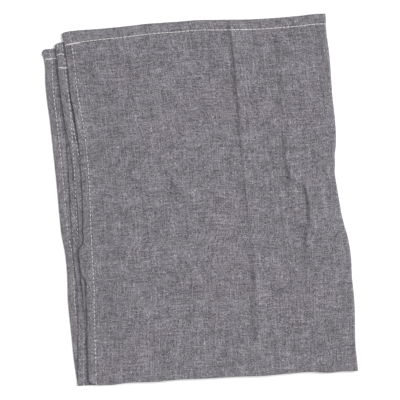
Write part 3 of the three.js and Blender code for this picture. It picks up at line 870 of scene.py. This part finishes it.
def tubes(path, up, thick):
    """Round threads: path holds a row of places for each, and up is the cloth's direction there."""
    ahead = unit(np.gradient(path, axis=1))
    side = unit(np.cross(ahead, up))
    lift = np.cross(side, ahead)
    around = np.arange(THREAD_SIDES) / THREAD_SIDES * 2 * math.pi
    place = np.linspace(-1, 1, STITCH_STEPS)
    radius = (thick[:, None] / 2 * (1 - TAPER * place**TAPER_POWER))[:, :, None, None]
    ring = side[:, :, None] * np.cos(around)[None, None, :, None]
    ring = ring + lift[:, :, None] * np.sin(around)[None, None, :, None]
    body = path[:, :, None] + ring * radius
    reach = thick[:, None] * CAP_REACH
    caps = np.stack([path[:, 0] - ahead[:, 0] * reach, path[:, -1] + ahead[:, -1] * reach], 1)
    return body, caps


def tube_faces(count):
    """Faces of count tubes whose points are stored ring after ring, and then the two caps."""
    per_tube = STITCH_STEPS * THREAD_SIDES + 2
    ring = np.arange(STITCH_STEPS * THREAD_SIDES).reshape(STITCH_STEPS, THREAD_SIDES)
    after = np.roll(ring, -1, axis=1)
    quad = np.stack([ring[:-1], after[:-1], after[1:], ring[1:]], -1).reshape(-1, 4)
    first_cap, last_cap = per_tube - 2, per_tube - 1
    start = np.stack([ring[0] * 0 + first_cap, after[0], ring[0]], -1)
    end = np.stack([ring[-1] * 0 + last_cap, ring[-1], after[-1]], -1)
    shift = (np.arange(count) * per_tube)[:, None, None]
    return (quad + shift).reshape(-1, 4), (np.concatenate([start, end]) + shift).reshape(-1, 3)


print(STITCH_STEPS * THREAD_SIDES + 2, "points in each thread")

# %% The stitches' mesh
stitch_middle = sheet_points(stitch_s, stitch_t)
stitch_normal = normals_at(stitch_s, stitch_t)
stitch_front, stitch_back = faces_of_cloth(stitch_s, stitch_t, stitch_middle, stitch_normal)
bow = 1 - np.linspace(-1, 1, STITCH_STEPS) ** STITCH_BOW
proud = STITCH_PROUD + stitch_thick[:, None] * THREAD_PROUD
lift = (mix(-STITCH_SINK, proud, bow) + stitch_depth[:, None])[..., None]
stitch_paths = np.concatenate([stitch_front + stitch_normal * lift, stitch_back - stitch_normal * lift])
stitch_ups = np.concatenate([stitch_normal, -stitch_normal])
body, caps = tubes(stitch_paths, stitch_ups, np.tile(stitch_thick, 2))
stitch_points = np.concatenate([body.reshape(len(body), -1, 3), caps], 1).reshape(-1, 3)
quad_faces, cap_faces = tube_faces(len(body))
topstitching = add_piece("topstitching", stitch_points, quad_faces.tolist() + cap_faces.tolist())
print(2 * len(quad_faces) + len(cap_faces), "triangles of thread")

# %% [markdown]
# ## Helpers for materials
#
# Colours are chosen as sRGB hex values, as on a screen, and one function turns them into the linear values
# that Blender computes with. Another one adds a node, sets its options and fills its inputs.

# %% Colours and nodes
def linear(hex_colour):
    """A colour such as #807d83 as linear RGBA."""
    channels = np.array([int(hex_colour[i:i + 2], 16) for i in (1, 3, 5)]) / 255
    low, high = channels / 12.92, ((channels + 0.055) / 1.055) ** 2.4
    return (*np.where(channels <= 0.04045, low, high).tolist(), 1.0)


def add_node(tree, kind, inputs=None, **options):
    """Adds a node. inputs are values, or other nodes' outputs, by the name or number of the socket."""
    made = tree.nodes.new(kind)
    for option, value in options.items():
        setattr(made, option, value)
    for socket, value in (inputs or {}).items():
        if isinstance(value, bpy.types.NodeSocket):
            tree.links.new(value, made.inputs[socket])
        else:
            made.inputs[socket].default_value = value
    return made


def new_material(name):
    """A material and its tree, which is still empty."""
    made = bpy.data.materials.new(name)
    made.use_nodes = True
    made.node_tree.nodes.clear()
    return made, made.node_tree


# A Mix node has sockets for numbers, vectors and colours. These are the numbers of those for colours
PART, FIRST, SECOND, BLEND = 0, 6, 7, 2
print("mid grey", [round(x, 3) for x in linear("#808080")])

# %% [markdown]
# ## Chambray
#
# Chambray is a plain weave: dark warp threads run down the cloth, pale weft threads run across, and each
# passes over and under the other in turn. From a step away it is a grey with a lively speckle, because
# spun threads aren't even: they are thicker and paler in places. A picture of cloth would show where it
# repeats, so the speckle is drawn thread by thread. Every thread gets its own wandering tone, and at each
# crossing the thread on top shows. Real threads here are 0.6 mm apart. They are drawn 0.7 mm apart, so
# that they still show.

# %% Chambray: threads and crossings
THREAD_SPACING = 0.7 * MM

chambray, weave = new_material("washed_chambray")
cloth_map = add_node(weave, "ShaderNodeUVMap", uv_map="cloth")
in_threads = add_node(
    weave, "ShaderNodeVectorMath", {0: cloth_map.outputs["UV"], "Scale": 1 / THREAD_SPACING},
    operation="SCALE",
)
split = add_node(weave, "ShaderNodeSeparateXYZ", {0: in_threads.outputs[0]})
number = {}
within = {}
for name, axis in (("warp", "X"), ("weft", "Y")):
    number[name] = add_node(weave, "ShaderNodeMath", {0: split.outputs[axis]}, operation="FLOOR").outputs[0]
    within[name] = add_node(weave, "ShaderNodeMath", {0: split.outputs[axis]}, operation="FRACT").outputs[0]
crossing = add_node(
    weave, "ShaderNodeMath", {0: number["warp"], 1: number["weft"]}, operation="ADD"
).outputs[0]
parity = add_node(weave, "ShaderNodeMath", {0: crossing, 1: 2}, operation="FLOORED_MODULO").outputs[0]
print("threads", round(1 / THREAD_SPACING / 100, 1), "per centimetre")

# %% Chambray: tones that wander
THREADS_APART = 7.31  # steps through the noise from one thread to the next
RUNS_ALONG = {"warp": "Y", "weft": "X"}


def noise_tone(place, scale, detail, roughness, part, tones, shape):
    """A noise, with the given part of its values stretched over all of the tones."""
    noise = add_node(
        weave, "ShaderNodeTexNoise",
        {"Vector": place, "Scale": scale, "Detail": detail, "Roughness": roughness},
        noise_dimensions="2D",
    )
    return add_node(
        weave, "ShaderNodeMapRange",
        {"Value": noise.outputs["Fac"], "From Min": part[0], "From Max": part[1],
         "To Min": tones[0], "To Max": tones[1]},
        interpolation_type=shape,
    ).outputs["Result"]


def thread_tone(name, run, seed, detail, part, tones=(0, 1), shape="SMOOTHSTEP"):
    """A tone that wanders along each thread and has nothing in common with the next thread's."""
    apart = add_node(
        weave, "ShaderNodeMath", {0: number[name], 1: THREADS_APART, 2: seed}, operation="MULTIPLY_ADD"
    )
    slow = add_node(
        weave, "ShaderNodeMath", {0: split.outputs[RUNS_ALONG[name]], 1: 1 / run}, operation="MULTIPLY"
    )
    place = add_node(weave, "ShaderNodeCombineXYZ", {"X": apart.outputs[0], "Y": slow.outputs[0]})
    return noise_tone(place.outputs[0], 1, detail, 1, part, tones, shape)


print("the warp runs along", RUNS_ALONG["warp"], "and the weft along", RUNS_ALONG["weft"])

# %% Chambray: warp and weft
# A thread keeps its tone over a run of so many threads' widths. The noise mostly stays in its middle
# third, so that part goes from the dark colour to the pale one
THREADS = {
    "warp": {"dark": "#28272d", "pale": "#69666d", "run": 4, "seed": 1.7, "part": (0.35, 0.65)},
    "weft": {"dark": "#545257", "pale": "#8e8b90", "run": 6.5, "seed": 4.1, "part": (0.34, 0.66)},
}
tone_of = {}
colour_of = {}
for name, kind in THREADS.items():
    tone_of[name] = thread_tone(name, kind["run"], kind["seed"], detail=3, part=kind["part"])
    colour_of[name] = add_node(
        weave, "ShaderNodeMix",
        {PART: tone_of[name], FIRST: linear(kind["dark"]), SECOND: linear(kind["pale"])}, data_type="RGBA",
    ).outputs[BLEND]
woven = add_node(
    weave, "ShaderNodeMix", {PART: parity, FIRST: colour_of["warp"], SECOND: colour_of["weft"]},
    data_type="RGBA",
).outputs[BLEND]
print({name: (kind["dark"], kind["pale"]) for name, kind in THREADS.items()})

# %% [markdown]
# Slubs are thick places in a spun thread, a few centimetres long. They show as faint paler streaks along
# the warp and the weft. Neps are tiny knots of fibre, seen as pale flecks. A float is the bit of thread
# on top of a crossing. No two of them catch the light alike, so each has a tone of its own as well.

# %% Chambray: slubs, neps and floats
SLUB_RUN = 30  # threads' widths
# (seed, the part of the noise in which a slub grows from nothing to its full thickness)
SLUBS = {"weft": (11.3, (0.62, 0.74)), "warp": (17.9, (0.64, 0.76))}
SLUB_SHOWN = 0.35
SLUB_COLOUR = "#8b888d"
NEP_COLOUR = "#a09da0"
NEP_SHARE = 0.002
FLOAT_TONES = (0.72, 1.28)

slubs = [thread_tone(name, SLUB_RUN, seed, detail=0, part=part) for name, (seed, part) in SLUBS.items()]
slub = add_node(weave, "ShaderNodeMath", {0: slubs[0], 1: slubs[1]}, operation="MAXIMUM").outputs[0]
slub_part = add_node(weave, "ShaderNodeMath", {0: slub, 1: SLUB_SHOWN}, operation="MULTIPLY").outputs[0]
with_slubs = add_node(
    weave, "ShaderNodeMix", {PART: slub_part, FIRST: woven, SECOND: linear(SLUB_COLOUR)}, data_type="RGBA"
).outputs[BLEND]

cell = add_node(weave, "ShaderNodeCombineXYZ", {"X": number["warp"], "Y": number["weft"]})
chance = add_node(
    weave, "ShaderNodeTexWhiteNoise", {"Vector": cell.outputs[0]}, noise_dimensions="2D"
).outputs["Value"]
nep = add_node(weave, "ShaderNodeMath", {0: chance, 1: 1 - NEP_SHARE}, operation="GREATER_THAN").outputs[0]
with_neps = add_node(
    weave, "ShaderNodeMix", {PART: nep, FIRST: with_slubs, SECOND: linear(NEP_COLOUR)}, data_type="RGBA"
).outputs[BLEND]
float_tone = add_node(
    weave, "ShaderNodeMapRange", {"Value": chance, "To Min": FLOAT_TONES[0], "To Max": FLOAT_TONES[1]}
).outputs["Result"]
print("neps on", NEP_SHARE * 100, "% of the crossings")

# %% [markdown]
# Broader tones lie over this. A few threads side by side are tighter or darker over a long way, which
# gives faint stripes both ways. Washing leaves the dye a little cloudy, both in depth and in hue.

# %% Chambray: stripes and clouds
STRIPES = {
    "warp": {"run": 40, "seed": 23.3, "tones": (0.78, 1.22)},
    "weft": {"run": 30, "seed": 31.9, "tones": (0.85, 1.15)},
}
CLOUD_TONES = (0.92, 1.08)
CLOUD_SIZE = 14 * MM
HUE_SIZE = 60 * MM
COOLER, WARMER = "#fdfffe", "#fffdfe"


def cloud(size, detail, part, tones=(0, 1), shape="SMOOTHSTEP"):
    """A tone in soft clouds of about the given size."""
    return noise_tone(cloth_map.outputs["UV"], 1 / size, detail, 0.5, part, tones, shape)


broad_tones = [
    thread_tone(name, detail=1, part=(0.25, 0.75), shape="LINEAR", **stripe)
    for name, stripe in STRIPES.items()
]
broad_tones.append(cloud(CLOUD_SIZE, detail=2, part=(0.3, 0.7), tones=CLOUD_TONES, shape="LINEAR"))
tone = float_tone
for broad_tone in broad_tones:
    tone = add_node(weave, "ShaderNodeMath", {0: tone, 1: broad_tone}, operation="MULTIPLY").outputs[0]
hue_part = cloud(HUE_SIZE, detail=1, part=(0.35, 0.65))
hue = add_node(
    weave, "ShaderNodeMix", {PART: hue_part, FIRST: linear(COOLER), SECOND: linear(WARMER)},
    data_type="RGBA",
).outputs[BLEND]
toned = add_node(weave, "ShaderNodeVectorMath", {0: with_neps, "Scale": tone}, operation="SCALE").outputs[0]
cloth_colour = add_node(weave, "ShaderNodeVectorMath", {0: toned, 1: hue}, operation="MULTIPLY").outputs[0]
print("clouds", round(CLOUD_SIZE / MM), "and", round(HUE_SIZE / MM), "mm wide")

# %% [markdown]
# Each crossing is a small pillow, highest where the top thread bends over the other. Cotton scatters light
# widely, so the surface is rough, and its fine nap adds a faint sheen at grazing angles.

# %% Chambray: relief and surface
COTTON_IOR = 1.53
WEAVE_RELIEF = 0.12 * MM
PILLOW_SHARE = 0.7  # of the relief that comes from the crossings. The threads' unevenness adds its own
RELIEF_STRENGTH = 0.6


def crown(value):
    """0 between two threads and 1 on top of one."""
    half_turn = add_node(weave, "ShaderNodeMath", {0: value, 1: math.pi}, operation="MULTIPLY")
    return add_node(weave, "ShaderNodeMath", {0: half_turn.outputs[0]}, operation="SINE").outputs[0]


pillow = add_node(
    weave, "ShaderNodeMath", {0: crown(within["warp"]), 1: crown(within["weft"])}, operation="MULTIPLY"
)
unevenness = add_node(weave, "ShaderNodeMath", {0: tone_of["warp"], 1: tone_of["weft"]}, operation="ADD")
relief = add_node(
    weave, "ShaderNodeMath", {0: pillow.outputs[0], 1: PILLOW_SHARE, 2: unevenness.outputs[0]},
    operation="MULTIPLY_ADD",
)
bump = add_node(
    weave, "ShaderNodeBump",
    {"Strength": RELIEF_STRENGTH, "Distance": WEAVE_RELIEF, "Height": relief.outputs[0]},
)
chambray_surface = add_node(
    weave, "ShaderNodeBsdfPrincipled",
    {
        "Base Color": cloth_colour,
        "Roughness": 0.92,
        "IOR": COTTON_IOR,
        "Specular IOR Level": 0.25,
        "Sheen Weight": 0.12,
        "Sheen Roughness": 0.5,
        "Normal": bump.outputs[0],
    },
)
add_node(weave, "ShaderNodeOutputMaterial", {"Surface": chambray_surface.outputs[0]})
towel.data.materials.append(chambray)
print("chambray has", len(weave.nodes), "nodes")

# %% [markdown]
# ## Sewing thread
#
# Spun polyester thread is smoother than the cloth and off-white. It is twisted from plies, which a fine
# slanting wave along the thread would show only from very near, so here a soft noise is enough.

# %% Sewing thread
FIBRE_GRAIN = 0.35 * MM
THREAD_SHADE, THREAD_LIGHT = "#b7b3b2", "#dcd8d5"
POLYESTER_IOR = 1.55

sewing_thread, tree = new_material("spun_sewing_thread")
place = add_node(tree, "ShaderNodeTexCoord")
grain = add_node(
    tree, "ShaderNodeTexNoise",
    {"Vector": place.outputs["Object"], "Scale": 1 / FIBRE_GRAIN, "Detail": 1},
)
fibres = add_node(
    tree, "ShaderNodeMapRange", {"Value": grain.outputs["Fac"], "From Min": 0.3, "From Max": 0.7},
    interpolation_type="SMOOTHSTEP",
)
fibre_colour = add_node(
    tree, "ShaderNodeMix",
    {PART: fibres.outputs["Result"], FIRST: linear(THREAD_SHADE), SECOND: linear(THREAD_LIGHT)},
    data_type="RGBA",
)
thread_surface = add_node(
    tree, "ShaderNodeBsdfPrincipled",
    {
        "Base Color": fibre_colour.outputs[BLEND],
        "Roughness": 0.6,
        "IOR": POLYESTER_IOR,
        "Specular IOR Level": 0.4,
        "Sheen Weight": 0.1,
    },
)
add_node(tree, "ShaderNodeOutputMaterial", {"Surface": thread_surface.outputs[0]})
topstitching.data.materials.append(sewing_thread)
print("thread has", len(tree.nodes), "nodes")

# %% [markdown]
# ## Floor and light
#
# The towel lies on a plain table top of matt white laminate, which spreads the light evenly and mirrors
# nothing. Broad soft light comes from all over, as in a light tent, and a little more of it from the
# right, low enough to draw the creases and the edges of the layers.

# %% Floor
FLOOR_SIZE = 3
FLOOR_WHITE = "#f3f3f3"
FLOOR_DROP = 0.1 * MM  # so that the cloth's lowest faces and the floor don't share a plane

bpy.ops.mesh.primitive_plane_add(size=FLOOR_SIZE, location=(0, 0, -FLOOR_DROP))
floor = bpy.context.object
floor.name = "floor"
laminate, tree = new_material("matt_white_laminate")
floor_surface = add_node(
    tree, "ShaderNodeBsdfPrincipled",
    {"Base Color": linear(FLOOR_WHITE), "Roughness": 0.8, "Specular IOR Level": 0.2},
)
add_node(tree, "ShaderNodeOutputMaterial", {"Surface": floor_surface.outputs[0]})
floor.data.materials.append(laminate)
print("floor", FLOOR_SIZE, "m")

# %% Light
SKY_STRENGTH = 0.82
KEY_STRENGTH = 3.6
KEY_WIDTH = math.radians(38)  # how large the key light looks from the towel
KEY_HEIGHT = math.radians(35)  # above the table
KEY_SIDE = math.radians(18)  # from the right round towards the end hem

world = bpy.data.worlds.new("soft_tent")
bpy.context.scene.world = world
world.use_nodes = True
sky = world.node_tree.nodes["Background"]
sky.inputs["Color"].default_value = linear("#ffffff")
sky.inputs["Strength"].default_value = SKY_STRENGTH

key = add_object("key", bpy.data.lights.new("key", "SUN"))
key.data.energy = KEY_STRENGTH
key.data.angle = KEY_WIDTH
to_key = Vector((math.cos(KEY_SIDE), math.sin(KEY_SIDE), math.tan(KEY_HEIGHT))).normalized()
key.location = to_key
key.rotation_euler = (-to_key).to_track_quat("-Z", "Y").to_euler()
bpy.context.scene.view_settings.view_transform = "Standard"
print("key light from", [round(value, 2) for value in to_key])

# %% [markdown]
# ## Into the frame
#
# The cloth stands for the solid towel, and both pieces ride on the one body.

for piece, slot in ((towel, "cloth"), (topstitching, "thread")):
    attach(piece, "root")
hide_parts("towel")
